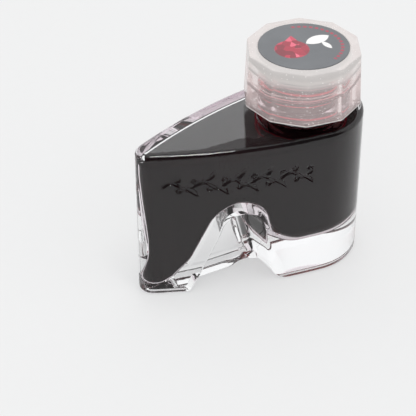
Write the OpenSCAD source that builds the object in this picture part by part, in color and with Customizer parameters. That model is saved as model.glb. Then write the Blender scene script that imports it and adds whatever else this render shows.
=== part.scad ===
// Pen-ink bottle in the shape of a shoe: a solid glass toe and heel joined by
// an arched, partly solid instep, with a threaded neck over the heel and a
// ten-sided translucent screw cap.
//
// Frame: origin on the neck axis, on the plane the bottle stands on.
// +X points out of the heel, -X out of the toe, +Z up. The glass body is
// symmetric about the XZ plane. All sizes are millimetres.

/* [Body outline] */
// Radius of the rounded heel
heel_r = 17.4; // [16.4:0.1:18.4]
// Distance of the heel centre from the neck axis
heel_x = 0.7; // [0:0.1:1.4]
// Radius of the long bowed sides
side_r = 156; // [145:1:170]
// Angle at which the sides meet the heel
side_angle = 5.8; // [5.2:0.1:6.4]
// Radius of the toe tip
tip_r = 4.2; // [4:0.1:4.8]
// Height of the glass body up to its shoulder
body_h = 48.2; // [47:0.1:50]
// Rounding of the shoulder edge
shoulder_fillet = 1.2; // [0.8:0.1:1.6]
// Rounding of the bottom edge
base_fillet = 1.2; // [0.8:0.1:1.6]

/* [Arch] */
// Where the toe side of the arch meets the ground
arch_toe_x = -41.3; // [-42:0.1:-40.5]
// Where the heel side of the arch meets the ground
arch_heel_x = -15; // [-16:0.1:-14]
// Rise of the toe side of the arch, from level
arch_toe_angle = 66.4; // [65:0.1:68]
// Rise of the heel side of the arch, from level
arch_heel_angle = 77; // [76:0.1:79]
// Radius of the crown of the arch
arch_r = 6.2; // [5.8:0.1:6.6]
// Thickness of the clear glass web left inside the arch
web_t = 7.6; // [7:0.1:11]
// Gap between the web and the ground
web_lift = 0.6; // [0.5:0.1:1.5]
// Draft of the arch pocket on each side
pocket_draft = 5; // [3:0.5:6]
// How far the toe side of the pocket is set in at the web
pocket_skew = 2.4; // [0:0.1:3]

/* [Cavity] */
// Thickness of the glass walls
wall = 3; // [2.8:0.1:3.1]
// Thickness of the glass under the ink at the toe
toe_floor = 3; // [3:0.1:5]
// Thickness of the glass under the ink at the heel
heel_floor = 10.2; // [9:0.1:13]
// Gap between the ink surface and the glass roof
ullage = 0.6; // [0.3:0.1:3]

/* [Neck] */
// Radius of the pouring throat
throat_r = 9.5; // [8.5:0.1:10]
// Radius of the neck at the root of its thread
neck_r = 12.3; // [12.2:0.05:12.4]
// Height of the lip above the ground
lip_z = 63.1; // [63:0.05:63.1]
// Radius of the collar where the neck grows out of the shoulder
collar_r = 15; // [14:0.1:16]
// Radius of the bead below the thread
bead_r = 13.25; // [13:0.05:13.3]

/* [Thread] */
// Rise of the thread in one turn
pitch = 3.2; // [3:0.1:3.4]
// Height of the thread above its root
thread_h = 0.95; // [0.8:0.05:1]
// Turns of the thread on the neck
neck_turns = 1.6; // [1.3:0.1:1.8]
// Turns of the thread in the cap
cap_turns = 1.3; // [1:0.1:1.4]

/* [Cap] */
// Across the corners of the cap at its top
cap_d_top = 33; // [32.6:0.1:34]
// Across the corners of the cap at its rim
cap_d_rim = 34.4; // [34:0.1:35]
// Height of the cap
cap_h = 16.3; // [16:0.1:16.5]
// Height of the rim above the shoulder
cap_gap = 3.2; // [2.8:0.1:3.4]
// Radius of the bore of the cap
cap_bore_r = 13.6; // [13.55:0.05:13.7]
// Thickness of the top of the cap
cap_top_t = 3; // [2.9:0.1:3.2]
// Turn of the ten sides about the neck axis
cap_turn_rest = 27.6; // [0:0.1:36]

/* [Label and liner] */
// Diameter of the round label
label_d = 25.9; // [24:0.1:26]
// Thickness of the label
label_t = 0.25; // [0.15:0.05:0.3]
// Thickness of the foam sealing liner
liner_t = 1.5; // [1.2:0.1:1.5]

/* [Hidden] */
$fn = 96;
eps = 0.01;
gap = 0.05;                // running gap between pieces that only touch
over = 1;                  // how far a cutter runs past the surface it opens

// centre of the arc of the -Y side (the +Y side is its mirror)
side_cx = heel_x + (side_r - heel_r) * sin(side_angle);
side_cy = (side_r - heel_r) * cos(side_angle);
// centre of the toe tip, where its arc is tangent to both sides
tip_x = side_cx - sqrt(pow(side_r - tip_r, 2) - pow(side_cy, 2));
// direction in which the side leaves the toe tip, seen from the side's centre
tip_angle = atan2(side_cx - tip_x, side_cy);

roof_z = body_h - wall;    // roof of the cavity
cavity_round = 0.8;        // rounding of the cavity's top and bottom edges
cut_y = 25;                // half width of blocks that span the whole bottle
pocket_y = 20;             // distance of the pocket's outer end from the XZ plane

lip_round = 0.8;           // rounding of the lip
lip_band_h = 1.5;          // height of the narrower core inside the lip's rounding
neck_z0 = roof_z + 0.5;    // foot of the neck, inside the glass roof

thread_z = 54.6;           // start of the thread on the neck
thread_root_w = 1.9;
thread_crest_w = 0.7;
thread_sink = 0.45;        // depth the thread is sunk into its wall
thread_steps = 30;         // steps in one turn
fade_steps = 3;            // steps over which each end fades
fade_min = 0.35;           // height left at the very ends, as a share

cap_z0 = body_h + cap_gap;
cap_z1 = cap_z0 + cap_h;
cap_sides = 10;
cap_chamfer = 0.55;
mouth_flare = 0.5;         // widening of the bore at the rim
mouth_h = 0.6;
seat_clearance = 0.4;      // label seat over the label, on the diameter
core_x = 15.35;            // distance of the rim pockets from the axis
core_r = 0.8;
core_depth = 2.2;
cap_bead_drop = 1.1;       // bottom of the liner bead below the lip
cap_bead_h = 0.7;
cap_bead_in = 0.6;         // how far the liner bead stands into the bore
cap_bead_sink = 0.3;       // how far it is sunk into the cap wall
liner_clearance = 0.25;    // liner to bore, on the radius

// ---- outline of the bottle, moved inwards by inset, as points along its arcs
function arc_pts(cx, cy, r, start, end, count) =
    [for (i = [0:count - 1])
        let (angle = start + (end - start) * i / count)
        [cx + r * cos(angle), cy + r * sin(angle)]];

function outline(inset) = concat(
    arc_pts(side_cx, side_cy, side_r - inset, -90 - tip_angle, -90 - side_angle, 14),
    arc_pts(heel_x, 0, heel_r - inset, -90 - side_angle, 90 + side_angle, 34),
    arc_pts(side_cx, -side_cy, side_r - inset, 90 + side_angle, 90 + tip_angle, 14),
    arc_pts(tip_x, 0, tip_r - inset, 90 + tip_angle, 270 - tip_angle, 10));

// a prism on the inset outline, from z0 to z1, with its top and bottom edges
// rounded in the given number of steps
module shoe(inset, z0, z1, top_round, base_round, steps) {
    // layers: [further inset, z]
    layers = concat(
        [for (i = [0:steps]) let (angle = 90 * i / steps)
            [base_round * (1 - sin(angle)), z0 + base_round * (1 - cos(angle))]],
        [for (i = [0:steps]) let (angle = 90 * i / steps)
            [top_round * (1 - cos(angle)), z1 - top_round * (1 - sin(angle))]]);
    rings = [for (layer = layers) [for (p = outline(inset + layer[0])) [p[0], p[1], layer[1]]]];
    size = len(rings[0]);
    last = len(rings) - 1;
    polyhedron(
        points = [for (ring = rings) for (p = ring) p],
        faces = concat(
            [[for (j = [0:size - 1]) j]],
            [[for (j = [size - 1:-1:0]) last * size + j]],
            [for (i = [0:last - 1]) for (j = [0:size - 1])
                let (next = (j + 1) % size)
                [i * size + next, i * size + j, (i + 1) * size + j, (i + 1) * size + next]]),
        convexity = 4);
}

// ---- the arch, seen from the side (x, z)
// the point where its two straight sides would meet
arch_apex_z = (arch_heel_x - arch_toe_x)
    / (1 / tan(arch_toe_angle) + 1 / tan(arch_heel_angle));
arch_apex_x = arch_toe_x + arch_apex_z / tan(arch_toe_angle);
arch_half = (180 - arch_toe_angle - arch_heel_angle) / 2;
arch_lean = (arch_heel_angle - arch_toe_angle) / 2;
// centre of the crown
crown = [arch_apex_x - arch_r / sin(arch_half) * sin(arch_lean),
         arch_apex_z - arch_r / sin(arch_half) * cos(arch_lean)];

// the arch, grown outwards by grow and run on below the ground
module arch_profile(grow) {
    r = arch_r + grow;
    toe_top = crown + r * [-sin(arch_toe_angle), cos(arch_toe_angle)];
    heel_top = crown + r * [sin(arch_heel_angle), cos(arch_heel_angle)];
    drop = crown[1] + 5;
    union() {
        translate(crown) circle(r = r, $fn = 64);
        polygon([crown,
            toe_top,
            toe_top + drop * [-1 / tan(arch_toe_angle), -1],
            heel_top + drop * [1 / tan(arch_heel_angle), -1],
            heel_top]);
    }
}

// the arch's outline as a block from y0 to y1
module arch_prism(grow, y0, y1)
    translate([0, y1, 0]) rotate([90, 0, 0]) linear_extrude(y1 - y0) arch_profile(grow);

// the pocket on the -Y side; it widens outwards, most of all towards the toe
module arch_pocket() {
    web_y = -web_t / 2;
    depth = pocket_y - web_t / 2;
    hull() {
        intersection() {
            arch_prism(0, web_y - eps, web_y);
            translate([pocket_skew, 0, 0]) arch_prism(0, web_y - eps, web_y);
        }
        arch_prism(depth * tan(pocket_draft), -pocket_y - eps, -pocket_y);
    }
}

// the slot that lifts the underside of the web off the ground
module web_slot() {
    half = web_t / 2 + over;
    intersection() {
        arch_prism(0, -half, half);
        translate([arch_toe_x - 10, -20, -over]) cube([60, 40, web_lift + over]);
    }
}

// ---- helical thread: a trapezoid swept along a helix, fading in and out
// side = 1 stands out from radius r, side = -1 stands in from it
function thread_ring(r, side, angle, z, root_w, crest_w, height) =
    let (
        sunk_w = root_w + (root_w - crest_w) * thread_sink / height,
        sunk_r = r - side * thread_sink,
        crest_r = r + side * height)
    [for (corner = [[sunk_r, -sunk_w], [crest_r, -crest_w], [crest_r, crest_w], [sunk_r, sunk_w]])
        [corner[0] * cos(angle), corner[0] * sin(angle), z + corner[1] / 2]];

module thread(r, side, turns, z0) {
    steps = ceil(turns * thread_steps);
    rings = [for (i = [0:steps])
        let (
            fade = max(fade_min, min(1, min(i, steps - i) / fade_steps)),
            width = 0.4 + 0.6 * fade)
        thread_ring(r, side, 360 * turns * i / steps, z0 + pitch * turns * i / steps,
            thread_root_w * width, thread_crest_w * width, thread_h * fade)];
    flanks = [for (i = [0:steps - 1]) for (j = [0:3])
        let (
            here = i * 4 + j,
            here_next = i * 4 + (j + 1) % 4,
            ahead_next = here_next + 4,
            ahead = here + 4)
        each side < 0
            ? [[here, ahead, ahead_next], [here, ahead_next, here_next]]
            : [[here, ahead_next, ahead], [here, here_next, ahead_next]]];
    end = steps * 4;
    ends = side < 0
        ? [[0, 1, 2, 3], [end + 3, end + 2, end + 1, end]]
        : [[3, 2, 1, 0], [end, end + 1, end + 2, end + 3]];
    polyhedron(
        points = [for (ring = rings) for (p = ring) p],
        faces = concat(flanks, ends),
        convexity = 6);
}

// ---- glass; the profiles are [radius, z]
module neck_profile() {
    union() {
        // neck with a softened lip
        translate([0, neck_z0]) square([neck_r, lip_z - neck_z0 - lip_round]);
        translate([0, lip_z - lip_band_h]) square([neck_r - lip_round, lip_band_h]);
        translate([neck_r - lip_round, lip_z - lip_round]) circle(r = lip_round, $fn = 32);
        // collar that blends the neck into the shoulder
        polygon([[0, body_h - 0.5], [collar_r, body_h - 0.5], [collar_r, body_h + 0.02],
                 [collar_r - 1.1, body_h + 0.45], [neck_r + 0.7, body_h + 1.2],
                 [neck_r, body_h + 2.6], [0, body_h + 2.6]]);
        // bead below the thread
        polygon([[0, body_h + 3.6], [neck_r, body_h + 3.6], [bead_r, body_h + 4.1],
                 [bead_r, body_h + 4.9], [neck_r, body_h + 5.4], [0, body_h + 5.4]]);
    }
}

// the throat, with a small flare at the lip
module throat_profile()
    polygon([[0, roof_z - over], [throat_r, roof_z - over], [throat_r, lip_z - lip_round],
             [throat_r + 0.12, lip_z - 0.5 * lip_round],
             [throat_r + 0.35, lip_z - 0.2 * lip_round],
             [throat_r + lip_round, lip_z], [throat_r + lip_round, lip_z + over],
             [0, lip_z + over]]);

// the hollow up to z_top, kept clear of the glass by margin
module cavity(margin, z_top) {
    difference() {
        shoe(wall + margin, toe_floor + margin, z_top, cavity_round, cavity_round, 3);
        arch_prism(wall + margin, -cut_y, cut_y);
        // thick sole under the heel
        translate([arch_heel_x - 8, -cut_y, 0]) cube([60, 2 * cut_y, heel_floor + margin]);
    }
}

module glass_bottle() color([0.93, 0.95, 0.95, 0.45]) {
    difference() {
        union() {
            shoe(0, 0, body_h, shoulder_fillet, base_fillet, 4);
            rotate_extrude() neck_profile();
            thread(neck_r, 1, neck_turns, thread_z);
        }
        arch_pocket();
        mirror([0, 1, 0]) arch_pocket();
        web_slot();
        cavity(0, roof_z);
        rotate_extrude() throat_profile();
    }
}

module ink() color([0.16, 0.01, 0.03]) cavity(gap, roof_z - ullage);

// ---- cap
module cap_blank() {
    rotate([0, 0, cap_turn_rest]) union() {
        translate([0, 0, cap_z0])
            cylinder(d1 = cap_d_rim, d2 = cap_d_top, h = cap_h - cap_chamfer, $fn = cap_sides);
        translate([0, 0, cap_z1 - cap_chamfer])
            cylinder(d1 = cap_d_top, d2 = cap_d_top - 2 * cap_chamfer, h = cap_chamfer,
                $fn = cap_sides);
    }
}

// bead that holds the liner in place
module liner_bead() {
    difference() {
        translate([0, 0, lip_z - cap_bead_drop])
            cylinder(r = cap_bore_r + cap_bead_sink, h = cap_bead_h);
        translate([0, 0, lip_z - 2]) cylinder(r = cap_bore_r - cap_bead_in, h = 3);
    }
}

module cap() color([0.90, 0.86, 0.84, 0.75]) {
    union() {
        difference() {
            cap_blank();
            translate([0, 0, cap_z0 - over])
                cylinder(r = cap_bore_r, h = cap_h - cap_top_t + over);
            // relief at the mouth of the bore
            translate([0, 0, cap_z0 - eps])
                cylinder(r1 = cap_bore_r + mouth_flare, r2 = cap_bore_r, h = mouth_h);
            // seat of the label
            translate([0, 0, cap_z1 - label_t - gap])
                cylinder(d = label_d + seat_clearance, h = 1);
            // core pockets in the rim, one under each corner
            for (i = [0:cap_sides - 1]) rotate([0, 0, cap_turn_rest + 360 / cap_sides * i])
                translate([core_x, 0, cap_z0 - over])
                    cylinder(r = core_r, h = core_depth + over, $fn = 24);
        }
        liner_bead();
        thread(cap_bore_r, -1, cap_turns, thread_z + pitch / 2);
    }
}

module cap_liner() color([0.95, 0.95, 0.93])
    translate([0, 0, lip_z + gap]) cylinder(r = cap_bore_r - liner_clearance, h = liner_t);

module cap_label() color([0.25, 0.27, 0.30])
    translate([0, 0, cap_z1 - label_t]) cylinder(d = label_d, h = label_t);

glass_bottle();
ink();
cap();
cap_liner();
cap_label();
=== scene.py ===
# Shoe-shaped glass ink bottle: glass, ink, ten-sided screw cap, liner and printed label.
# The toe points to -x and the heel to +x, the front face looks to -y and z is up. The bottle
# stands on z = 0, and the neck and the cap share the z axis.
import itertools
import math

import bpy
import numpy as np
from mathutils import Matrix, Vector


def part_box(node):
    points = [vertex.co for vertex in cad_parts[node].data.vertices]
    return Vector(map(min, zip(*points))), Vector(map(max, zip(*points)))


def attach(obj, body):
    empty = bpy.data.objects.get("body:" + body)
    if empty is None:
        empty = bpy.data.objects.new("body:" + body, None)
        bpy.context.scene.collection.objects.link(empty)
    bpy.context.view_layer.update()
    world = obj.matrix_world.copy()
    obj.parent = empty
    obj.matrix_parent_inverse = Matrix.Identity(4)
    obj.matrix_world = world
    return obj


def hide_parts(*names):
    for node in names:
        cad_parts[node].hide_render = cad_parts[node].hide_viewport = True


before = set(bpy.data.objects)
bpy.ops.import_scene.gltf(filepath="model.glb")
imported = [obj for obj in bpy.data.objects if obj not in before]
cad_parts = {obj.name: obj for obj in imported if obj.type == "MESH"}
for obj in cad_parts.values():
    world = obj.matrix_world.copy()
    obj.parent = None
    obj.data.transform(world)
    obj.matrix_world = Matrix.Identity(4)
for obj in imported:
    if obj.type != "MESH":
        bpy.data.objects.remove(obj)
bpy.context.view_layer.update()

# ------------------------------------------------------------------ sizes
# Shapes are in millimetres and become metres when a mesh is made.
# Materials, floor and lamp are in metres.
MM = 0.001
TURN = 2 * math.pi


def box_mm(node):
    """lowest and highest corner of a CAD piece"""
    low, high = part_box(node)
    return np.array([c / MM for c in low]), np.array([c / MM for c in high])


GLASS_BOX = box_mm("glass_bottle")
INK_BOX = box_mm("ink")
CAP_BOX = box_mm("cap")
LINER_BOX = box_mm("cap_liner")
LABEL_BOX = box_mm("cap_label")

# mesh cell of the sculpted pieces
GLASS_CELL = 0.30
INK_CELL = 0.42
CAP_CELL = 0.3
MESH_MARGIN = 1.2

# heights
BODY_H = 48.2
WALL = 3.0
ROOF_Z = BODY_H - WALL
INK_Z = ROOF_Z - 0.6
LIP_Z = GLASS_BOX[1][2]
CAP_Z0, CAP_Z1 = CAP_BOX[0][2], CAP_BOX[1][2]
LINER_Z0, LINER_Z1 = LINER_BOX[0][2], LINER_BOX[1][2]
TOE_FLOOR_Z, HEEL_FLOOR_Z = 2.3, 10.2

# neck and screw thread
NECK_R, THROAT_R = 12.3, 9.5
PITCH, THREAD_Z, THREAD_H = 3.2, 54.6, 0.95
NECK_TURNS, CAP_TURNS = 1.6, 1.3

# cap: ten flats, measured to their corners
CAP_SIDES = 10
CAP_FOOT_R, CAP_TOP_R = 17.2, 16.5
CAP_BORE_R = 13.6
CAP_PHASE = math.radians(27.6)

# plan outline: heel arc, two long side arcs and toe arc, each tangent to the next
HEEL_R, HEEL_X = 17.4, 0.7
SIDE_R, SIDE_ANGLE = 156.0, math.radians(5.8)
TIP_R = 4.2
SIDE_X = HEEL_X + (SIDE_R - HEEL_R) * math.sin(SIDE_ANGLE)
SIDE_Y = (SIDE_R - HEEL_R) * math.cos(SIDE_ANGLE)
TIP_X = SIDE_X - math.sqrt((SIDE_R - TIP_R) ** 2 - SIDE_Y ** 2)
TIP_ANGLE = math.atan2(SIDE_X - TIP_X, SIDE_Y)

# arch under the instep: two straight flanks, joined by a crown arc
ARCH_TOE_X, ARCH_HEEL_X = -41.3, -15.0
ARCH_TOE_SLOPE, ARCH_HEEL_SLOPE = math.radians(66.4), math.radians(77.0)
ARCH_R = 6.2
WEB_HALF = 3.8                  # half thickness of the web that closes the arch


def arch_centre():
    """x and z of the crown arc's centre, below the point where the flanks would meet"""
    span = ARCH_HEEL_X - ARCH_TOE_X
    apex_z = span / (1 / math.tan(ARCH_TOE_SLOPE) + 1 / math.tan(ARCH_HEEL_SLOPE))
    apex_x = ARCH_TOE_X + apex_z / math.tan(ARCH_TOE_SLOPE)
    half_angle = (math.pi - ARCH_TOE_SLOPE - ARCH_HEEL_SLOPE) / 2
    lean = (ARCH_HEEL_SLOPE - ARCH_TOE_SLOPE) / 2
    drop = ARCH_R / math.sin(half_angle)
    return apex_x - drop * math.sin(lean), apex_z - drop * math.cos(lean)


ARCH_X, ARCH_Z = arch_centre()

# shift of the ink space's wall at the toe: height, shift (positive makes the wall thicker)
TIP_SWELL = (
    (2.0, -0.9), (4.0, -0.85), (6.0, -0.6), (8.5, -0.1), (11.0, 0.35),
    (14.0, 0.58), (18.0, 0.62), (24.0, 0.48), (32.0, 0.22), (40.0, 0.0),
)

# front shore of the air bubble under the shoulder: x, y
BUBBLE_SHORE = (
    (-52, 2.2), (-49, 1.2), (-42.2, -1.4), (-37.7, -3.1), (-34.7, -4.1), (-26, -4.3),
    (-22.4, -4.5), (-20.8, -4.8), (-20.0, -6.2), (-18.5, -6.9), (-16.7, -6.3), (-13, -7.0),
    (-10.3, -8.0), (-5, -10.5), (0, -12), (4, -12.5), (8, -10), (12, 6), (14, 24),
)

# camera and stage
VIEW_TURN = math.radians(28.4)      # the viewer stands this far from -y towards -x
VIEW_TILT = math.radians(36.0608)   # and looks down by this
CAMERA_LEFT = 26.870085             # from the middle of the cap's top, along the camera's axes
CAMERA_DOWN = 45.49974
CAMERA_BACK = 423.05868
CAMERA_LENS = 130.559712
FLOOR_HALF = 1.6
FLOOR_DROP = 0.00002
FLOOR_GLOW, FLOOR_DIFFUSE = 0.545, 0.30


# ------------------------------------------------------------------ distance fields
# A field is negative inside its shape and positive outside.
def intersect(a, b, radius):
    """intersection of two fields, its edge rounded"""
    u = np.maximum(a + radius, 0.0)
    v = np.maximum(b + radius, 0.0)
    inside = np.minimum(np.maximum(a + radius, b + radius), 0.0)
    return inside + np.sqrt(u * u + v * v) - radius


def unite(a, b, radius):
    """union of two fields, its inner corner filled"""
    return -intersect(-a, -b, radius)


def ease(u):
    """smooth step from 0 to 1"""
    u = np.clip(u, 0.0, 1.0)
    return u * u * (3 - 2 * u)


def rise(value, start, length):
    """0 at start, 1 a length further on; a negative length runs downwards"""
    return ease((value - start) / length)


def plan_outline(x, y):
    """distance to the bottle's plan outline, both halves folded onto the front one"""
    y = -np.abs(y)
    side = np.hypot(x - SIDE_X, y - SIDE_Y) - SIDE_R
    heel = np.hypot(x - HEEL_X, y) - HEEL_R
    tip = np.hypot(x - TIP_X, y) - TIP_R
    # which arc owns the point: by the angle seen from the side arc's centre
    angle = np.arctan2(SIDE_X - x, SIDE_Y - y)
    return np.where(angle > TIP_ANGLE, tip, np.where(angle < SIDE_ANGLE, heel, side))


def arch_profile(x, z):
    """distance to the arch, negative in its opening"""
    dx, dz = x - ARCH_X, z - ARCH_Z
    toe_flank = -dx * math.sin(ARCH_TOE_SLOPE) + dz * math.cos(ARCH_TOE_SLOPE) - ARCH_R
    heel_flank = dx * math.sin(ARCH_HEEL_SLOPE) + dz * math.cos(ARCH_HEEL_SLOPE) - ARCH_R
    # between the normals of the flanks the crown arc owns the point
    angle = np.arctan2(dx, dz)
    crown = (angle > -ARCH_TOE_SLOPE) & (angle < ARCH_HEEL_SLOPE) & (z - ARCH_Z > -2.0)
    return np.where(crown, np.hypot(dx, dz) - ARCH_R, np.maximum(toe_flank, heel_flank))


def threaded_radius(x, y, z, base, outward, turns, start_z):
    """radius of a surface with a helical thread; outward is 1 for a ridge, -1 for a bore"""
    angle = np.mod(np.arctan2(y, x), TURN)
    radius = np.full_like(x, base)
    for lap in range(-1, 4):
        turn = angle / TURN + lap
        off = np.abs(z - (start_z + PITCH * turn))
        fade = ease(np.minimum(turn, turns - turn) * 9.0)     # both ends run out
        profile = ease((0.98 - off) / 0.62)                   # half foot and flank width
        radius = radius + outward * THREAD_H * profile * fade
    return radius


# ------------------------------------------------------------------ ornament
# window of the depth map on the front face, and its grid step
VINE_X0, VINE_X1, VINE_Z0, VINE_Z1, VINE_STEP = -52.0, -2.0, 30.0, 47.0, 0.08
VINE_DEPTH = 0.52
VINE_REACH = 0.3                # stamped beyond a stroke's half width


def vine_height(x):
    """middle line of the stem: a slightly sloping wave"""
    return 37.6 - 0.030 * (x + 27.0) + 1.15 * np.sin((x + 47.5) * 2 * math.pi / 8.2)


def vine_strokes():
    """strokes as x, z and half width along each"""
    t = np.linspace(0, 1, 500)
    x = -47.6 + 41.6 * t
    width = 0.36 + 0.22 * np.sin(t * 32.0) ** 2 * np.sin(t * math.pi) ** 0.3
    strokes = [(x, vine_height(x), width)]
    u = np.linspace(0, 1, 70)
    v = np.linspace(0, 1, 60)
    for k in range(10):
        # a leaf, by turns above and below the stem
        root = -45.4 + 4.1 * k
        up = 1 if k % 2 == 0 else -1
        size = (3.9 if k in (2, 4) else 3.1) * (0.9 if k > 7 else 1.0)
        bow = np.sin(u * math.pi)
        leaf_x = root + size * u * 0.92 + 0.25 * bow
        leaf_z = vine_height(root) + up * size * (u ** 0.8) * 0.80 - up * 0.55 * bow
        strokes.append((leaf_x, leaf_z, 0.16 + 0.50 * bow ** 0.9))
        # a curl on the other side
        radius = 1.05 * (1 - 0.72 * v)
        angle = up * (1.2 - v * 5.0)
        curl_x = root + 1.75
        curl_z = vine_height(curl_x) - up * 1.55
        strokes.append((curl_x + radius * np.cos(angle),
                        curl_z + radius * np.sin(angle) * 0.95,
                        0.20 + 0.08 * np.sin(v * math.pi)))
    return strokes


def vine_depth_map():
    """depth of the running vine, over x and z of the front face"""
    nx = int((VINE_X1 - VINE_X0) / VINE_STEP) + 1
    nz = int((VINE_Z1 - VINE_Z0) / VINE_STEP) + 1
    grid_x = VINE_X0 + VINE_STEP * np.arange(nx)
    grid_z = VINE_Z0 + VINE_STEP * np.arange(nz)
    depth = np.zeros((nx, nz))

    def window(centre, width, origin):
        first = int((centre - width - VINE_REACH - origin) / VINE_STEP)
        last = int((centre + width + VINE_REACH - origin) / VINE_STEP) + 1
        return slice(first, last)

    for stroke in vine_strokes():
        for x, z, width in zip(*stroke):
            cols, rows = window(x, width, VINE_X0), window(z, width, VINE_Z0)
            off = np.hypot(grid_x[cols, None] - x, grid_z[None, rows] - z)
            dent = VINE_DEPTH * ease((width + 0.20 - off) / 0.42)
            depth[cols, rows] = np.maximum(depth[cols, rows], dent)
    return depth


VINE = vine_depth_map()


def ornament(x, y, z):
    """vine depth at each point, read from the map between its grid points"""
    out = np.zeros_like(x)
    near = ((y < -1.0) & (x > VINE_X0 + 0.2) & (x < VINE_X1 - 0.2)
            & (z > VINE_Z0 + 0.2) & (z < VINE_Z1 - 0.2))
    if not near.any():
        return out
    u, w = (x[near] - VINE_X0) / VINE_STEP, (z[near] - VINE_Z0) / VINE_STEP
    i, j = u.astype(int), w.astype(int)
    fu, fw = u - i, w - j
    out[near] = (VINE[i, j] * (1 - fu) * (1 - fw) + VINE[i + 1, j] * fu * (1 - fw)
                 + VINE[i, j + 1] * (1 - fu) * fw + VINE[i + 1, j + 1] * fu * fw)
    return out


# ------------------------------------------------------------------ the bottle's fields
def cut_instep(body, x, y, z):
    """opens a pocket under the instep on both sides of the web"""
    depth = np.abs(y)
    arch = arch_profile(x, z)
    heelward = rise(x, start=-30.5, length=7.0)
    inset = 0.42 * (1 - rise(z, start=17.0, length=8.0))
    # the pocket narrows from its mouth to the web, most strongly on the toe side
    mouth = 12.2 + (x + 27.0) * 0.25
    taper = 0.44 * (1 - heelward) + 0.11 * heelward
    # the web thickens downwards; its rear face carries a groove just above its foot
    groove = 0.10 * rise(z, start=3.2, length=-0.42) + 0.55 * np.exp(-((z - 3.1) / 0.34) ** 2)
    web = WEB_HALF + 0.35 * (1 - z / 14.0) - groove * (y > 0)
    pocket = intersect(arch + inset + np.maximum(mouth - depth, -4.0) * taper, web - depth,
                       radius=1.2 + 2.0 * heelward)
    # the pocket's edge is softest low on the heel side
    edge = (0.6 + 0.5 * (1 - rise(z, start=0.0, length=5.0))
            + 2.3 * rise(x, start=-26.0, length=5.0) * (1 - rise(z, start=5.0, length=12.0)))
    body = intersect(body, -pocket, radius=edge)
    # the web's foot is rounded on both sides and stands just clear of the ground
    foot = intersect(depth - web, 0.25 - z, radius=1.7)
    under = intersect(arch + 0.5, -foot, radius=0.5)
    under = np.maximum(under, z - 5.0)
    return intersect(body, -under, radius=0.3)


def neck_field(x, y, z):
    """threaded neck with a bead round its foot"""
    r = np.hypot(x, y)
    thread = threaded_radius(x, y, z, NECK_R, outward=1, turns=NECK_TURNS, start_z=THREAD_Z)
    neck = intersect((r - thread) * 0.75, z - LIP_Z, radius=0.7)
    neck = np.maximum(neck, (ROOF_Z - 2) - z)
    bead_z, bead_r, bead_half, bead_round = 52.7, 12.7, 0.25, 0.52
    bead = np.hypot(np.maximum(np.abs(z - bead_z) - bead_half, 0.0),
                    np.maximum(r - bead_r, 0.0)) - bead_round
    return unite(neck, bead, radius=0.35)


def body_field(points):
    """the bottle as if it were solid"""
    x, y, z = points.T
    outline = plan_outline(x, y) + ornament(x, y, z)
    body = intersect(outline, z - BODY_H, radius=1.35)
    body = intersect(body, -z, radius=1.15)
    # the base is slightly dished inside its standing rim
    dish = intersect(outline + 3.0, z - 0.55, radius=0.5)
    body = intersect(body, -dish, radius=0.35)
    body = cut_instep(body, x, y, z)
    return unite(body, neck_field(x, y, z), radius=1.0)


def cavity_field(points):
    """ink space, without the throat"""
    x, y, z = points.T
    # the wall thins upwards, and again high on the heel side
    wall = (WALL - 0.8 * rise(z, start=12.0, length=30.0)
            - 0.75 * rise(x, start=2.0, length=9.0) * rise(z, start=34.0, length=9.0))
    swell = np.interp(z, *np.transpose(TIP_SWELL)) * rise(x, start=-44.0, length=-4.0)
    outline = plan_outline(x, y) + wall + swell
    side = rise(x - ARCH_X, start=-4.0, length=8.0)     # 0 in the toe, 1 in the heel
    floor = TOE_FLOOR_Z + (HEEL_FLOOR_Z - TOE_FLOOR_Z) * side
    roofed = intersect(outline, z - ROOF_Z, radius=1.6)
    # glass over the arch, thicker on the heel side and thinner low in its middle
    arch = arch_profile(x, z) - (2.1 + 0.9 * rise(x, start=-32.0, length=7.0))
    middle = 1 - rise(np.abs(y), start=2.0, length=9.0)
    arch = (arch + 1.2 * rise(x, start=-24.0, length=4.0) * middle
            * rise(z, start=28.0, length=-6.0))
    # the bottom is a bowl: wide curves between floor, walls and arch, a small one at the crown
    cavity = intersect(roofed, floor - z, radius=2.8 + 3.4 * side)
    near_floor = 1 - rise(z - floor, start=1.0, length=9.0)
    return intersect(cavity, -arch, radius=1.6 + (4.0 + 2.0 * side) * near_floor)


def throat_field(points):
    x, y, z = points.T
    return np.maximum(np.hypot(x, y) - THROAT_R, (ROOF_Z - 1.0) - z)


def glass_field(points):
    hollow = unite(cavity_field(points), throat_field(points), radius=1.6)
    return intersect(body_field(points), -hollow, radius=0.55)


def ink_field(points):
    """ink up to its level, a hair larger than the ink space"""
    x, y, z = points.T
    cavity = cavity_field(points)
    # a flat bubble lies under the shoulder; in front of its shore the ink wets the glass
    shore = np.interp(x, *np.transpose(BUBBLE_SHORE))
    shore = shore + 0.16 * np.sin(x * 2.3) + 0.10 * np.sin(x * 5.7 + 1.0)
    wet = np.clip((shore - y) / 0.95, 0.0, 1.0)
    wet = 1 - np.sqrt(np.maximum(1 - wet * wet, 0.0))
    # behind the shore it creeps up where it touches the wall
    edge = np.clip(1.0 + cavity / 1.3, 0.0, 1.0)
    level = INK_Z + 0.35 * edge * edge * (y > shore) + 0.8 * wet
    return np.maximum(cavity - 0.10, z - level)


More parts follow.
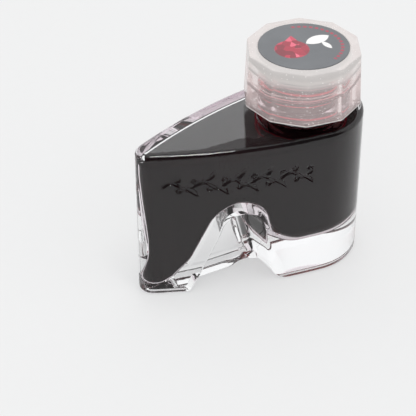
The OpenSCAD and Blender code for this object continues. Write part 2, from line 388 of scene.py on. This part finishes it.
# ------------------------------------------------------------------ the cap's field
def cap_field(points):
    x, y, z = points.T
    r = np.hypot(x, y)
    angle = np.arctan2(y, x) - CAP_PHASE
    sector = TURN / CAP_SIDES
    # ten tapering flats that meet in slightly rounded corners
    off_flat = np.mod(angle, sector) - sector / 2
    share = (z - CAP_Z0) / (CAP_Z1 - CAP_Z0)
    flat = (CAP_FOOT_R + (CAP_TOP_R - CAP_FOOT_R) * share) * math.cos(sector / 2)
    side = intersect(r * np.cos(off_flat) - flat,
                     r * np.cos(np.abs(off_flat) - sector) - flat, radius=0.35)
    body = intersect(side, z - CAP_Z1, radius=0.5)
    body = intersect(body, CAP_Z0 - z, radius=0.2)
    # threaded bore, with a bead that keeps the liner in
    thread = threaded_radius(x, y, z, CAP_BORE_R, outward=-1, turns=CAP_TURNS,
                             start_z=THREAD_Z + PITCH / 2)
    bore = intersect((r - thread) * 0.75, z - (CAP_Z1 - 3.0), radius=0.4)
    bead = np.hypot(np.maximum(CAP_BORE_R - 0.25 - r, 0.0),
                    np.abs(z - (LINER_Z0 - 0.75))) - 0.35
    body = intersect(body, -bore, radius=0.25)
    body = unite(body, np.maximum(bead, side), radius=0.2)
    # label seat
    seat = np.maximum(r - 13.15, (LABEL_BOX[0][2] - 0.05) - z)
    body = intersect(body, -seat, radius=0.08)
    # small round pockets in the rim, one under each corner
    off_corner = np.mod(angle + sector / 2, sector) - sector / 2
    from_pocket = np.hypot(r * np.cos(off_corner) - 15.35, r * np.sin(off_corner))
    pocket = intersect(from_pocket - 0.72, z - (CAP_Z0 + 1.3), radius=0.5)
    return intersect(body, -pocket, radius=0.15)


# ------------------------------------------------------------------ surface nets
NET_BLOCK = 12                  # grid planes evaluated at a time
NET_STEPS = 3                   # moves of the vertices towards the surface
CORNERS = np.array(list(itertools.product((0, 1), repeat=3)))


def gradient(field, points, reach):
    """slope of the field by central differences, and its value"""
    slope = np.empty_like(points)
    for axis in range(3):
        ahead, behind = points.copy(), points.copy()
        ahead[:, axis] += reach
        behind[:, axis] -= reach
        slope[:, axis] = (field(ahead) - field(behind)) / (2 * reach)
    return slope, field(points)


def sample_grid(field, low, count, cell):
    axes = [low[i] + cell * np.arange(count[i]) for i in range(3)]
    values = np.empty(count, np.float32)
    yy, zz = np.meshgrid(axes[1], axes[2], indexing="ij")
    for start in range(0, count[0], NET_BLOCK):
        xs = axes[0][start:start + NET_BLOCK]
        points = np.empty((len(xs), count[1], count[2], 3))
        points[..., 0] = xs[:, None, None]
        points[..., 1] = yy
        points[..., 2] = zz
        sampled = field(points.reshape(-1, 3))
        values[start:start + NET_BLOCK] = sampled.reshape(len(xs), count[1], count[2])
    return values


def cell_vertices(values, cells):
    """mean of the crossing points on each cell's edges, in cell units"""
    at_corner = np.stack([values[tuple((cells + c).T)] for c in CORNERS], 1).astype(float)
    total = np.zeros((len(cells), 3))
    crossings = np.zeros(len(cells))
    for i, j in itertools.combinations(range(8), 2):
        edge = CORNERS[j] - CORNERS[i]
        if np.abs(edge).sum() != 1:
            continue
        a, b = at_corner[:, i], at_corner[:, j]
        crossed = (a < 0) != (b < 0)
        t = np.where(crossed, a / np.where(crossed, a - b, 1.0), 0.0)
        points = CORNERS[i][None] + t[:, None] * edge[None]
        total[crossed] += points[crossed]
        crossings[crossed] += 1
    return cells + total / crossings[:, None]


def net_quads(inside, index, count):
    """one quad round each grid edge that crosses the surface"""
    quads = []
    for axis in range(3):
        side1, side2 = (axis + 1) % 3, (axis + 2) % 3
        lower, upper = [slice(None)] * 3, [slice(None)] * 3
        lower[axis] = slice(0, count[axis] - 1)
        upper[axis] = slice(1, count[axis])
        a, b = inside[tuple(lower)], inside[tuple(upper)]
        edges = np.argwhere(a != b)
        flip = b[tuple(edges.T)]
        kept = ((edges[:, side1] > 0) & (edges[:, side2] > 0)
                & (edges[:, side1] < count[side1] - 1) & (edges[:, side2] < count[side2] - 1))
        edges, flip = edges[kept], flip[kept]
        step1, step2 = np.eye(3, dtype=int)[[side1, side2]]
        around = (edges - step1 - step2, edges - step2, edges, edges - step1)
        quad = np.stack([index[tuple(c.T)] for c in around], 1)
        quad[flip] = quad[flip][:, ::-1]
        quads.append(quad)
    return np.concatenate(quads)


def surface_net(field, low, high, cell):
    """mesh of field = 0: one vertex per crossed cell, then moved onto the surface"""
    count = np.ceil((high - low) / cell).astype(int) + 1
    values = sample_grid(field, low, count, cell)
    inside = values < 0
    corners_in = np.zeros(count - 1, np.int8)
    for dx, dy, dz in CORNERS:
        corners_in += inside[dx:count[0] - 1 + dx, dy:count[1] - 1 + dy, dz:count[2] - 1 + dz]
    cells = np.argwhere((corners_in > 0) & (corners_in < 8))
    index = np.full(count - 1, -1, np.int64)
    index[tuple(cells.T)] = np.arange(len(cells))
    verts = low + cell * cell_vertices(values, cells)
    quads = net_quads(inside, index, count)
    for _ in range(NET_STEPS):
        slope, value = gradient(field, verts, cell * 0.02)
        step = (value / np.maximum((slope * slope).sum(1), 0.05))[:, None] * slope
        length = np.linalg.norm(step, axis=1)
        step *= np.minimum(1.0, 0.5 * cell / np.maximum(length, 1e-9))[:, None]
        verts = verts - step
    normals, _ = gradient(field, verts, cell * 0.12)
    return verts, quads, normals


# ------------------------------------------------------------------ mesh helpers
def new_object(name, verts, faces, normals=None):
    """smooth-shaded object; faces are a list of tuples or an array of equal faces"""
    mesh = bpy.data.meshes.new(name)
    verts = np.asarray(verts, float) * MM
    if isinstance(faces, np.ndarray):
        sides = faces.shape[1]
        mesh.vertices.add(len(verts))
        mesh.vertices.foreach_set("co", verts.astype(np.float32).ravel())
        mesh.loops.add(faces.size)
        mesh.loops.foreach_set("vertex_index", faces.astype(np.int32).ravel())
        mesh.polygons.add(len(faces))
        starts = (np.arange(len(faces)) * sides).astype(np.int32)
        mesh.polygons.foreach_set("loop_start", starts)
        mesh.polygons.foreach_set("loop_total", np.full(len(faces), sides, np.int32))
    else:
        mesh.from_pydata([tuple(v) for v in verts], [], faces)
    mesh.update(calc_edges=True)
    mesh.validate()
    mesh.polygons.foreach_set("use_smooth", [True] * len(mesh.polygons))
    if normals is not None:
        length = np.linalg.norm(normals, axis=1, keepdims=True)
        unit = normals / np.maximum(length, 1e-9)
        mesh.normals_split_custom_set_from_vertices(unit.tolist())
    ob = bpy.data.objects.new(name, mesh)
    bpy.context.scene.collection.objects.link(ob)
    return ob


def field_object(name, field, box, cell):
    low, high = box
    return new_object(name, *surface_net(field, low - MESH_MARGIN, high + MESH_MARGIN, cell))


def hand_over(ob, materials, part, replaced=None):
    """gives an object its materials and its role in the frame"""
    for material in materials:
        ob.data.materials.append(material)
    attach(ob, part)
    if replaced:
        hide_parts(replaced)


def read_vectors(items, key):
    """a vector of every vertex or face, one per row"""
    flat = np.empty(len(items) * 3, np.float32)
    items.foreach_get(key, flat)
    return flat.reshape(-1, 3)


def circle_angles(count):
    return np.arange(count) * 2 * math.pi / count


def round_axis(angles, radius, height):
    """points at the given angles round the z axis"""
    return np.stack([radius * np.cos(angles), radius * np.sin(angles),
                     np.full(len(angles), height)], 1)


def ring_faces(rings, sides, closed=False):
    """quads between successive rings; closed joins the last ring to the first"""
    faces = []
    for i in range(rings if closed else rings - 1):
        here, there = i * sides, (i + 1) % rings * sides
        for j in range(sides):
            beside = (j + 1) % sides
            faces.append((here + j, here + beside, there + beside, there + j))
    return faces


def end_faces(rings, sides):
    """flat ends on the first and the last ring"""
    return [tuple(range(sides))[::-1], tuple(range((rings - 1) * sides, rings * sides))]


def tube(name, path, radii, closed=False, sides=8):
    """round tube along a path that runs round the z axis"""
    count = len(path)
    verts = []
    for i in range(count):
        if closed:
            along = path[(i + 1) % count] - path[i - 1]
        else:
            along = path[min(i + 1, count - 1)] - path[max(i - 1, 0)]
        along = along / np.linalg.norm(along)
        out = path[i] * (1, 1, 0)
        out /= np.linalg.norm(out)
        up = np.cross(along, out)
        for k in range(sides):
            a = TURN * k / sides
            verts.append(path[i] + radii[i] * (math.cos(a) * out + math.sin(a) * up))
    faces = ring_faces(count, sides, closed)
    if not closed:
        faces += end_faces(count, sides)
    return new_object(name, verts, faces)


# ------------------------------------------------------------------ node helpers
def srgb(*channels):
    """linear colour from 0-255 sRGB channels"""
    def linear(c):
        c /= 255.0
        return c / 12.92 if c <= 0.04045 else ((c + 0.055) / 1.055) ** 2.4
    return (*map(linear, channels), 1.0)


def grey(value):
    return (value, value, value, 1)


BLACK, WHITE = grey(0), grey(1)


class Nodes:
    """short calls for wiring a node tree; any input takes a value or a socket"""

    def __init__(self, tree):
        self.tree = tree

    def feed(self, socket, value):
        if isinstance(value, bpy.types.NodeSocket):
            self.tree.links.new(value, socket)
        else:
            socket.default_value = value

    def node(self, kind, settings=None, **inputs):
        """new node; an underscore in an input's name stands for a space"""
        node = self.tree.nodes.new("ShaderNode" + kind)
        for key, value in (settings or {}).items():
            setattr(node, key, value)
        for key, value in inputs.items():
            self.feed(node.inputs[key.replace("_", " ")], value)
        return node

    def feed_all(self, node, values):
        """feeds inputs given by number"""
        for number, value in values.items():
            self.feed(node.inputs[number], value)
        return node.outputs

    def coords(self, kind="Object"):
        return self.node("TexCoord").outputs[kind]

    def parts(self, vector):
        """x, y and z of a vector"""
        return self.feed_all(self.node("SeparateXYZ"), {0: vector})

    def channels(self, colour):
        """red, green and blue of a colour"""
        return self.feed_all(self.node("SeparateColor"), {0: colour})

    def noise(self, at, scale, detail, roughness, distortion=0.0):
        return self.node("TexNoise", Scale=scale, Detail=detail, Roughness=roughness,
                         Distortion=distortion, Vector=at).outputs["Fac"]

    def voronoi(self, at, scale):
        return self.node("TexVoronoi", Scale=scale, Vector=at).outputs

    def ramp(self, value, *stops):
        """linear colour ramp over stops of position and colour"""
        node = self.node("ValToRGB", Fac=value)
        node.color_ramp.interpolation = "LINEAR"
        elements = node.color_ramp.elements
        while len(elements) > 1:
            elements.remove(elements[-1])
        elements[0].position, elements[0].color = stops[0]
        for position, colour in stops[1:]:
            elements.new(position).color = colour
        return node.outputs["Color"]

    def math(self, operation, a, b=0.0, c=None, clamp=False):
        node = self.node("Math", {"operation": operation, "use_clamp": clamp})
        values = {0: a, 1: b}
        if c is not None:
            values[2] = c
        return self.feed_all(node, values)[0]

    def times(self, a, b):
        return self.math("MULTIPLY", a, b)

    def invert(self, value):
        return self.math("SUBTRACT", 1.0, value)

    def smooth(self, value, start, end, low=0.0, high=1.0):
        """smooth passage from low at start to high at end"""
        node = self.node("MapRange", {"interpolation_type": "SMOOTHSTEP"})
        return self.feed_all(node, {0: value, 1: start, 2: end, 3: low, 4: high})[0]

    def mix(self, share, a, b):
        """colour between a and b"""
        node = self.node("Mix", {"data_type": "RGBA"})
        return self.feed_all(node, {0: share, 6: a, 7: b})[2]

    def mix_shader(self, share, a, b):
        return self.feed_all(self.node("MixShader"), {0: share, 1: a, 2: b})[0]

    def bump(self, height, strength, distance):
        return self.node("Bump", Strength=strength, Distance=distance,
                         Height=height).outputs["Normal"]

    def shader(self, kind, **inputs):
        return self.node(kind, **inputs).outputs[0]


class MaterialNodes(Nodes):
    """node tree of a new material"""

    def __init__(self, name):
        self.material = bpy.data.materials.new(name)
        self.material.use_nodes = True
        super().__init__(self.material.node_tree)
        self.tree.nodes.clear()
        self.output = self.node("OutputMaterial")

    def finish(self, shader):
        self.feed(self.output.inputs["Surface"], shader)
        return self.material


# ------------------------------------------------------------------ materials
def glass_material():
    m = MaterialNodes("clear_glass")
    at = m.coords()
    # faint moulding waves and a hint of haze, as pressed glass has
    wave = m.noise(at, scale=55.0, detail=2.0, roughness=0.4)
    fine = m.noise(at, scale=900.0, detail=3.0, roughness=0.6)
    tint = m.ramp(wave, (0.3, (0.998, 0.998, 1.0, 1)), (0.75, (0.99, 0.993, 0.996, 1)))
    # the neck is tinted pink
    neck = m.smooth(m.parts(at)[2], start=0.0500, end=0.0525)
    tint = m.mix(neck, tint, (0.97, 0.80, 0.83, 1))
    haze = m.math("MULTIPLY_ADD", fine, 0.004, 0.0)
    return m.finish(m.shader(
        "BsdfPrincipled", Base_Color=tint, Roughness=haze, IOR=1.51, Transmission_Weight=1.0,
        Normal=m.bump(wave, strength=0.08, distance=0.0003)))


def ink_material(name, meets_air):
    """ink against air, or behind glass, where it turns into a mirror at a glancing angle"""
    m = MaterialNodes(name)
    at = m.coords()
    swirl = m.noise(at, scale=60.0, detail=3.0, roughness=0.5, distortion=0.6)
    deep = m.ramp(swirl, (0.25, srgb(26, 15, 17)), (0.8, srgb(34, 17, 20)))
    # painted glow: faces that look down are painted red, most of all towards the heel,
    # standing in for light that shines through thin ink
    normal_z = m.parts(m.node("NewGeometry").outputs["Normal"])[2]
    under = m.ramp(m.times(normal_z, -1.0), (0.55, BLACK), (0.95, WHITE))
    heelward = m.smooth(m.parts(at)[0], start=-0.030, end=-0.016, low=0.06, high=1.0)
    deep = m.mix(m.times(under, heelward), deep, srgb(150, 70, 70))
    body = m.shader("BsdfDiffuse", Color=deep)
    if meets_air:
        mirror = WHITE
        share = m.shader("Fresnel", IOR=1.34)
    else:
        mirror = m.ramp(swirl, (0.3, (0.97, 0.92, 0.95, 1)), (0.8, (0.95, 0.87, 0.91, 1)))
        # no mirror on faces that look up
        calm = m.ramp(normal_z, (0.08, WHITE), (0.30, BLACK))
        share = m.times(m.shader("Fresnel", IOR=1.345 / 1.51), calm)
    shine = m.shader("BsdfGlossy", Roughness=0.02, Color=mirror)
    return m.finish(m.mix_shader(share, body, shine))


def cap_material():
    """clear plastic, clouded along the light's way through it; the cloud shows a painted glow,
    with painted glinting specks and a painted highlight on the bright rim
    """
    m = MaterialNodes("cap_plastic")
    at = m.coords()
    height = m.parts(at)[2]
    cloud = m.noise(at, scale=120.0, detail=4.0, roughness=0.55)
    fine = m.noise(at, scale=1400.0, detail=2.0, roughness=0.5)
    clear = m.shader("BsdfGlass", Color=(1.0, 0.990, 0.986, 1), Roughness=0.05, IOR=1.47,
                     Normal=m.bump(fine, strength=0.10, distance=0.00004))
    # milky plastic, stained pink low down
    stain = m.smooth(height, start=0.0640, end=0.0590, low=0.0, high=0.55)
    cream = m.ramp(cloud, (0.3, srgb(248, 246, 246)), (0.75, srgb(243, 239, 238)))
    cream = m.mix(stain, cream, srgb(244, 206, 210))
    milk = m.mix_shader(0.35, m.shader("BsdfDiffuse", Color=cream),
                        m.shader("BsdfTranslucent", Color=cream))
    # painted sparkle: a small glowing dot in the middle of some cells
    cells = m.voronoi(at, scale=1050.0)
    dot = m.math("LESS_THAN", cells["Distance"], 0.17)
    chosen = m.math("GREATER_THAN", m.channels(cells["Color"])[0], 0.42)
    painted_speck = m.times(dot, chosen)
    # share of light scattered on the way through: 1 - exp(-length / mean free path)
    free_path = 0.021
    geometry = m.node("NewGeometry").outputs
    back = geometry["Backfacing"]
    front = m.invert(back)
    length = m.node("LightPath").outputs["Ray Length"]
    kept = m.math("EXPONENT", m.times(length, -1.0 / free_path))
    through = m.times(m.invert(kept), back)
    # haze of the skin: more on the top face and on the upper part, where the haze shows the
    # painted glow
    skin = m.math("MULTIPLY_ADD", cloud, 0.05, 0.15)
    crown = m.smooth(m.parts(geometry["Normal"])[2], start=0.3, end=0.9, low=0.0, high=0.14)
    skin = m.math("ADD", skin, m.times(crown, front))
    upper = m.smooth(height, start=0.0612, end=0.0652, low=0.0, high=0.42)
    skin = m.math("ADD", skin, m.times(upper, front))
    haze = m.math("ADD", through, skin, clamp=True)
    # painted shade: the painted glow is dimmed when the plastic is seen from below, standing
    # in for scattered light that comes from above, so the plastic looks darker from below
    painted_light_from_above = m.smooth(m.parts(geometry["Incoming"])[2], start=-0.25, end=0.20, low=0.10, high=1.0)
    haze = m.math("ADD", haze, m.times(m.invert(painted_light_from_above), m.times(back, 0.7)), clamp=True)
    # painted glow: an emission in the plastic's tint stands in for light scattered inside it;
    # it covers back faces and the upper part, dimmed by the painted shade
    painted_glow_colour = m.mix(stain, srgb(224, 219, 216), srgb(218, 190, 191))
    glow = m.shader("Emission", Color=painted_glow_colour, Strength=painted_light_from_above)
    painted_glow_share = m.math("ADD", back, m.times(upper, 1.2), clamp=True)
    body = m.mix_shader(haze, clear, m.mix_shader(painted_glow_share, milk, glow))
    # painted highlights: the specks and the lowest edge of the rim glint, as emission that
    # glows by itself
    painted_glint = m.shader("Emission", Color=(1.0, 0.97, 0.95, 1), Strength=0.95)
    painted_rim_glint = m.smooth(height, start=CAP_Z0 * MM + 0.00050, end=CAP_Z0 * MM + 0.00022,
                   low=0.0, high=0.62)
    edge = m.times(m.times(painted_rim_glint, front), painted_light_from_above)
    painted_glint_share = m.math("MAXIMUM", m.times(painted_speck, 0.55), edge)
    return m.finish(m.mix_shader(painted_glint_share, body, painted_glint))


def film_material(name, grain, light, dark, roughness, glow, painted_glow_strength):
    """dried ink: mottled between two colours, with a painted glow of its own that stands in
    for light
    """
    m = MaterialNodes(name)
    scale, detail = grain
    mottle = m.noise(m.coords(), scale=scale, detail=detail, roughness=0.6)
    # painted glow: the emission lights the dried ink up by itself, though it is no lamp
    return m.finish(m.shader(
        "BsdfPrincipled", Base_Color=m.ramp(mottle, (0.3, dark), (0.75, light)),
        Roughness=roughness, IOR=1.4, Emission_Color=glow, Emission_Strength=painted_glow_strength))


def residue_material():
    """strong red ink left on the neck"""
    return film_material("ink_residue", grain=(420.0, 3.0), dark=srgb(205, 20, 48),
                         light=srgb(232, 60, 84), roughness=0.18,
                         glow=(0.80, 0.03, 0.08, 1), painted_glow_strength=0.36)


def stain_material():
    """thin pink ink film"""
    return film_material("ink_stain", grain=(300.0, 4.0), dark=srgb(232, 150, 160),
                         light=srgb(244, 186, 190), roughness=0.25,
                         glow=(0.82, 0.34, 0.38, 1), painted_glow_strength=0.35)


def liner_material():
    m = MaterialNodes("liner_foam")
    cells = m.voronoi(m.coords(), scale=2600.0)["Distance"]
    colour = m.ramp(cells, (0.0, srgb(226, 222, 216)), (0.6, srgb(244, 241, 236)))
    return m.finish(m.shader("BsdfPrincipled", Base_Color=colour, Roughness=0.65,
                             Normal=m.bump(cells, strength=0.5, distance=0.0001)))


def label_material():
    """grey print; the art attribute holds the masks of the drop, the leaf and the dashes"""
    m = MaterialNodes("label_print")
    at = m.coords()
    masks = m.channels(m.node("VertexColor", {"layer_name": "art"}).outputs["Color"])
    grain = m.noise(at, scale=2200.0, detail=3.0, roughness=0.6)
    soft = m.noise(at, scale=140.0, detail=2.0, roughness=0.5)
    ground = m.ramp(soft, (0.3, srgb(84, 87, 91)), (0.8, srgb(94, 97, 101)))
    facets = m.voronoi(at, scale=480.0)["Color"]
    red = m.ramp(facets, (0.2, srgb(120, 10, 36)), (0.6, srgb(178, 22, 58)),
                 (0.9, srgb(222, 96, 120)))
    colour = m.mix(masks[0], ground, red)
    colour = m.mix(masks[1], colour, srgb(236, 234, 232))
    colour = m.mix(masks[2], colour, srgb(160, 38, 62))
    return m.finish(m.shader(
        "BsdfPrincipled", Base_Color=colour,
        Roughness=m.ramp(grain, (0.2, grey(0.30)), (0.8, grey(0.42))),
        Normal=m.bump(grain, strength=0.15, distance=0.00003),
        Coat_Weight=0.6, Coat_Roughness=0.22))


def floor_material():
    """pale floor that takes only part of the light and glows evenly"""
    m = MaterialNodes("studio_floor")
    grain = m.noise(m.coords(), scale=260.0, detail=4.0, roughness=0.6)
    colour = m.ramp(grain, (0.2, (0.88, 0.88, 0.872, 1)), (0.8, (0.90, 0.90, 0.892, 1)))
    matt = m.mix_shader(FLOOR_DIFFUSE, m.shader("BsdfDiffuse", Color=BLACK),
                        m.shader("BsdfDiffuse", Color=colour))
    glow = m.shader("Emission", Color=(0.985, 0.99, 1.0, 1), Strength=FLOOR_GLOW)
    return m.finish(m.feed_all(m.node("AddShader"), {0: matt, 1: glow})[0])


# ------------------------------------------------------------------ bottle and ink
def build_glass():
    glass = field_object("bottle_glass", glass_field, GLASS_BOX, GLASS_CELL)
    hand_over(glass, [glass_material()], "bottle", replaced="glass_bottle")


def build_ink():
    """the ink; its free top takes the second material. Returns the material behind glass"""
    ink = field_object("ink_fill", ink_field, INK_BOX, INK_CELL)
    deep = ink_material("ink_deep", meets_air=False)
    surface = ink_material("ink_surface", meets_air=True)
    hand_over(ink, [deep, surface], "bottle", replaced="ink")
    faces = ink.data.polygons
    centres = read_vectors(faces, "center")
    normals = read_vectors(faces, "normal")
    off_wall = cavity_field(centres.astype(float) / MM) < -0.10
    top = (normals[:, 2] > 0.82) & (centres[:, 2] / MM > INK_Z - 0.06) & off_wall
    faces.foreach_set("material_index", top.astype(np.int32))
    return deep


def build_cap():
    cap = field_object("cap_shell", cap_field, CAP_BOX, CAP_CELL)
    hand_over(cap, [cap_material()], "cap", replaced="cap")


# ------------------------------------------------------------------ ink left on the neck
def closed_line(name, material, radius, heights, angles, thickness):
    """line of ink all round the neck"""
    line = tube(name, round_axis(angles, radius, heights), thickness, closed=True)
    hand_over(line, [material], "bottle")


def thread_line(name, material, radius, above, thickness):
    """line of ink that follows the thread, thinning out at both ends"""
    angles = np.linspace(0.35, 1.52 * TURN, 260)
    fade = np.minimum(np.minimum(1.0, 6 * (angles - 0.33)), 6 * (1.54 * TURN - angles))
    path = round_axis(angles, radius, THREAD_Z + PITCH * angles / TURN + above)
    line = tube(name, path, thickness * fade + 0.01)
    hand_over(line, [material], "bottle")


def build_residue(dark):
    """dark is the material of the ink behind glass"""
    red = residue_material()
    pink = stain_material()
    angles = np.linspace(0, TURN, 160, endpoint=False)
    closed_line("bead_residue", red, radius=13.02, heights=52.08 + 0.05 * np.sin(5 * angles),
                angles=angles, thickness=0.27 + 0.05 * np.sin(3 * angles + 1))
    thread_line("thread_residue", red, radius=12.42, above=-0.98, thickness=0.22)
    thread_line("thread_film", pink, radius=12.34, above=0.92, thickness=0.26)
    # wavy bands under the lip: name, radius, height, thickness, material
    for name, radius, height, thickness, material in (
            ("lip_residue", 12.15, 61.50, 0.40, pink),
            ("neck_residue_dark", 12.22, 60.25, 0.24, dark),
            ("neck_residue_red", 12.25, 59.42, 0.31, red)):
        closed_line(name, material, radius, angles=angles,
                    heights=height + 0.06 * np.sin(2 * angles + radius * 9),
                    thickness=thickness * (1 + 0.12 * np.sin(4 * angles + height)))


def build_throat_film(dark):
    """ink sleeve on the throat's wall, with a wavy upper edge"""
    angles = circle_angles(128)
    edge = 60.6 + 0.35 * np.sin(3 * angles + 0.7) + 0.22 * np.sin(7 * angles)
    outer, inner = THROAT_R + 0.03, THROAT_R - 0.12
    # up the outside and down the inside: radius, height
    section = ((outer, INK_Z - 0.6), (outer, 52.0), (outer, edge),
               (THROAT_R - 0.10, edge - 0.25), (inner, 52.0), (inner, INK_Z - 0.6))
    verts = np.concatenate([round_axis(angles, r, z) for r, z in section])
    faces = ring_faces(len(section), len(angles), closed=True)
    hand_over(new_object("throat_film", verts, faces), [dark], "bottle")


# ------------------------------------------------------------------ liner and label
def build_liner():
    """foam disc with rounded edges, its face a hair lower over the lip"""
    radius, edge_r, recess, sides = LINER_BOX[1][0], 0.25, 0.02, 96
    quarter = np.linspace(0, math.pi / 2, 5)
    profile = [(1.5, LINER_Z0 + recess), (THROAT_R - 0.6, LINER_Z0 + recess),
               (THROAT_R + 0.1, LINER_Z0), (NECK_R, LINER_Z0),
               (NECK_R + 0.4, LINER_Z0 + recess)]
    profile += [(radius - edge_r + edge_r * math.sin(a),
                 LINER_Z0 + recess + edge_r - edge_r * math.cos(a)) for a in quarter]
    profile += [(radius - edge_r + edge_r * math.cos(a),
                 LINER_Z1 - edge_r + edge_r * math.sin(a)) for a in quarter]
    profile += [(6.0, LINER_Z1), (1.5, LINER_Z1)]
    verts = np.concatenate([round_axis(circle_angles(sides), r, z) for r, z in profile])
    faces = ring_faces(len(profile), sides) + end_faces(len(profile), sides)
    liner = new_object("sealing_liner", verts, faces)
    hand_over(liner, [liner_material()], "liner", replaced="cap_liner")


def label_mesh():
    """disc with a fine net of vertices on its top, to carry the art"""
    radius, top, bottom = LABEL_BOX[1][0], LABEL_BOX[1][2] - 0.01, LABEL_BOX[0][2]
    rings, sides = 60, 240
    profile = [(r, top) for r in np.linspace(0, radius - 0.06, rings + 1)[1:]]
    profile += [(radius, top - 0.05), (radius, bottom + 0.03), (radius - 0.05, bottom)]
    circles = [round_axis(circle_angles(sides), r, z) for r, z in profile]
    verts = np.concatenate([[(0, 0, top)], *circles, [(0, 0, bottom)]])
    faces = [(0, 1 + j, 1 + (j + 1) % sides) for j in range(sides)]
    faces += [(1 + a, 1 + d, 1 + c, 1 + b) for a, b, c, d in ring_faces(len(profile), sides)]
    last = len(verts) - 1
    outer = last - sides
    faces += [(outer + (j + 1) % sides, outer + j, last) for j in range(sides)]
    return verts, faces


def soft_mask(distance, blur=0.12):
    return np.clip(0.5 - distance / (2 * blur), 0, 1)


def label_art(x, y):
    """masks of the drop, the leaf and the dashes, laid out as the viewer reads the label"""
    right = x * math.cos(VIEW_TURN) - y * math.sin(VIEW_TURN)
    away = x * math.sin(VIEW_TURN) + y * math.cos(VIEW_TURN)
    # a plain ink drop: a circle and a point
    drop_x, drop_y = right + 3.4, away + 1.9
    point = np.maximum(np.abs(drop_x) + (drop_y - 7.6) * 0.62, -drop_y + 1.5)
    drop = np.minimum(np.hypot(drop_x, drop_y) - 4.9, point)
    # a plain leaf: two lens shapes, across and along a tilted axis
    leaf_x, leaf_y = right - 4.0, away - 3.6
    across = leaf_x * 0.82 + leaf_y * 0.57
    along = -leaf_x * 0.57 + leaf_y * 0.82
    large = np.maximum(np.hypot(across, along - 3.0), np.hypot(across, along + 3.0)) - 5.0
    small = np.maximum(np.hypot(across + 2.2, along + 3.9),
                       np.hypot(across - 2.9, along + 3.9)) - 3.4
    leaf = np.minimum(large, small)
    # short dashes every 9 degrees along part of a ring
    r = np.hypot(right, away)
    angle = np.arctan2(away, right)
    off_dash = np.mod(angle, math.radians(9)) - math.radians(4.5)
    dash = np.maximum(np.abs(r - 10.9) - 0.45, np.abs(off_dash) * r - 0.5)
    dash = np.where((angle > math.radians(-42)) & (angle < math.radians(108)), dash, 9)
    return soft_mask(drop), soft_mask(leaf), soft_mask(dash)


def build_label():
    label = new_object("top_label", *label_mesh())
    attribute = label.data.color_attributes.new("art", "FLOAT_COLOR", "POINT")
    places = read_vectors(label.data.vertices, "co").astype(float) / MM
    masks = label_art(places[:, 0], places[:, 1])
    colours = np.stack([*masks, np.ones(len(places))], 1).astype(np.float32)
    attribute.data.foreach_set("color", colours.ravel())
    hand_over(label, [label_material()], "cap", replaced="cap_label")


# ------------------------------------------------------------------ stage
def build_floor():
    mesh = bpy.data.meshes.new("floor")
    s = FLOOR_HALF
    mesh.from_pydata([(-s, -s, 0), (s, -s, 0), (s, s, 0), (-s, s, 0)], [], [(0, 1, 2, 3)])
    floor = bpy.data.objects.new("floor", mesh)
    bpy.context.scene.collection.objects.link(floor)
    floor.location.z = -FLOOR_DROP
    mesh.materials.append(floor_material())


def build_world(scene):
    """room that is pale behind and above the bottle and dim on the viewer's side"""
    world = bpy.data.worlds.new("studio")
    scene.world = world
    world.use_nodes = True
    w = Nodes(world.node_tree)
    x, y, z = w.parts(w.coords("Generated"))
    away = w.math("ADD", w.times(x, math.sin(VIEW_TURN)), w.times(y, math.cos(VIEW_TURN)))
    toward = w.smooth(w.times(away, -1.0), start=0.02, end=0.38)
    low = w.invert(w.smooth(z, start=0.90, end=0.985))
    # diffuse light still gets the full room
    seen = w.invert(w.node("LightPath").outputs["Is Diffuse Ray"])
    dim = w.times(w.times(toward, low), seen)
    darkening, strength = 0.88, 1.0
    level = w.invert(w.times(dim, darkening))
    background = world.node_tree.nodes["Background"]
    w.feed_all(background, {0: (0.985, 0.992, 1.0, 1), 1: w.times(level, strength)})


def build_lamp(scene):
    """long lamp overhead, shining straight down"""
    light = bpy.data.lights.new("overhead", "AREA")
    light.shape = "RECTANGLE"
    light.size, light.size_y = 0.16, 0.97
    light.energy = 7.8
    light.color = (1.0, 0.99, 0.97)
    lamp = bpy.data.objects.new("overhead", light)
    lamp.location = (0.06, -0.13, 1.48)
    lamp.rotation_mode = "QUATERNION"
    scene.collection.objects.link(lamp)


def build_camera(scene):
    turn_cos, turn_sin = math.cos(VIEW_TURN), math.sin(VIEW_TURN)
    tilt_cos, tilt_sin = math.cos(VIEW_TILT), math.sin(VIEW_TILT)
    # the camera's own axes
    right = np.array([turn_cos, -turn_sin, 0.0])
    up = np.array([tilt_sin * turn_sin, tilt_sin * turn_cos, tilt_cos])
    back = np.array([-tilt_cos * turn_sin, -tilt_cos * turn_cos, tilt_sin])
    place = (np.array([0, 0, CAP_Z1]) - CAMERA_LEFT * right - CAMERA_DOWN * up
             + CAMERA_BACK * back)
    data = bpy.data.cameras.new("camera")
    data.sensor_fit = "HORIZONTAL"
    data.sensor_width = 36.0
    data.lens = CAMERA_LENS
    data.clip_start, data.clip_end = 0.01, 10.0
    camera = bpy.data.objects.new("camera", data)
    matrix = np.eye(4)
    matrix[:3] = np.column_stack([right, up, back, place * MM])
    camera.matrix_world = Matrix(matrix.tolist())
    scene.collection.objects.link(camera)
    scene.camera = camera


def set_render(scene):
    scene.view_settings.view_transform = "Standard"
    scene.view_settings.look = "None"
    cycles = scene.cycles
    cycles.max_bounces = 24
    cycles.transmission_bounces = 20
    cycles.glossy_bounces = 8
    cycles.diffuse_bounces = 5
    cycles.transparent_max_bounces = 16
    cycles.caustics_reflective = True
    cycles.caustics_refractive = True
    cycles.sample_clamp_indirect = 4.0


# ------------------------------------------------------------------ build
build_glass()
ink_deep = build_ink()
build_cap()
build_residue(ink_deep)
build_throat_film(ink_deep)
build_liner()
build_label()
build_floor()
build_world(bpy.context.scene)
build_lamp(bpy.context.scene)
build_camera(bpy.context.scene)
set_render(bpy.context.scene)
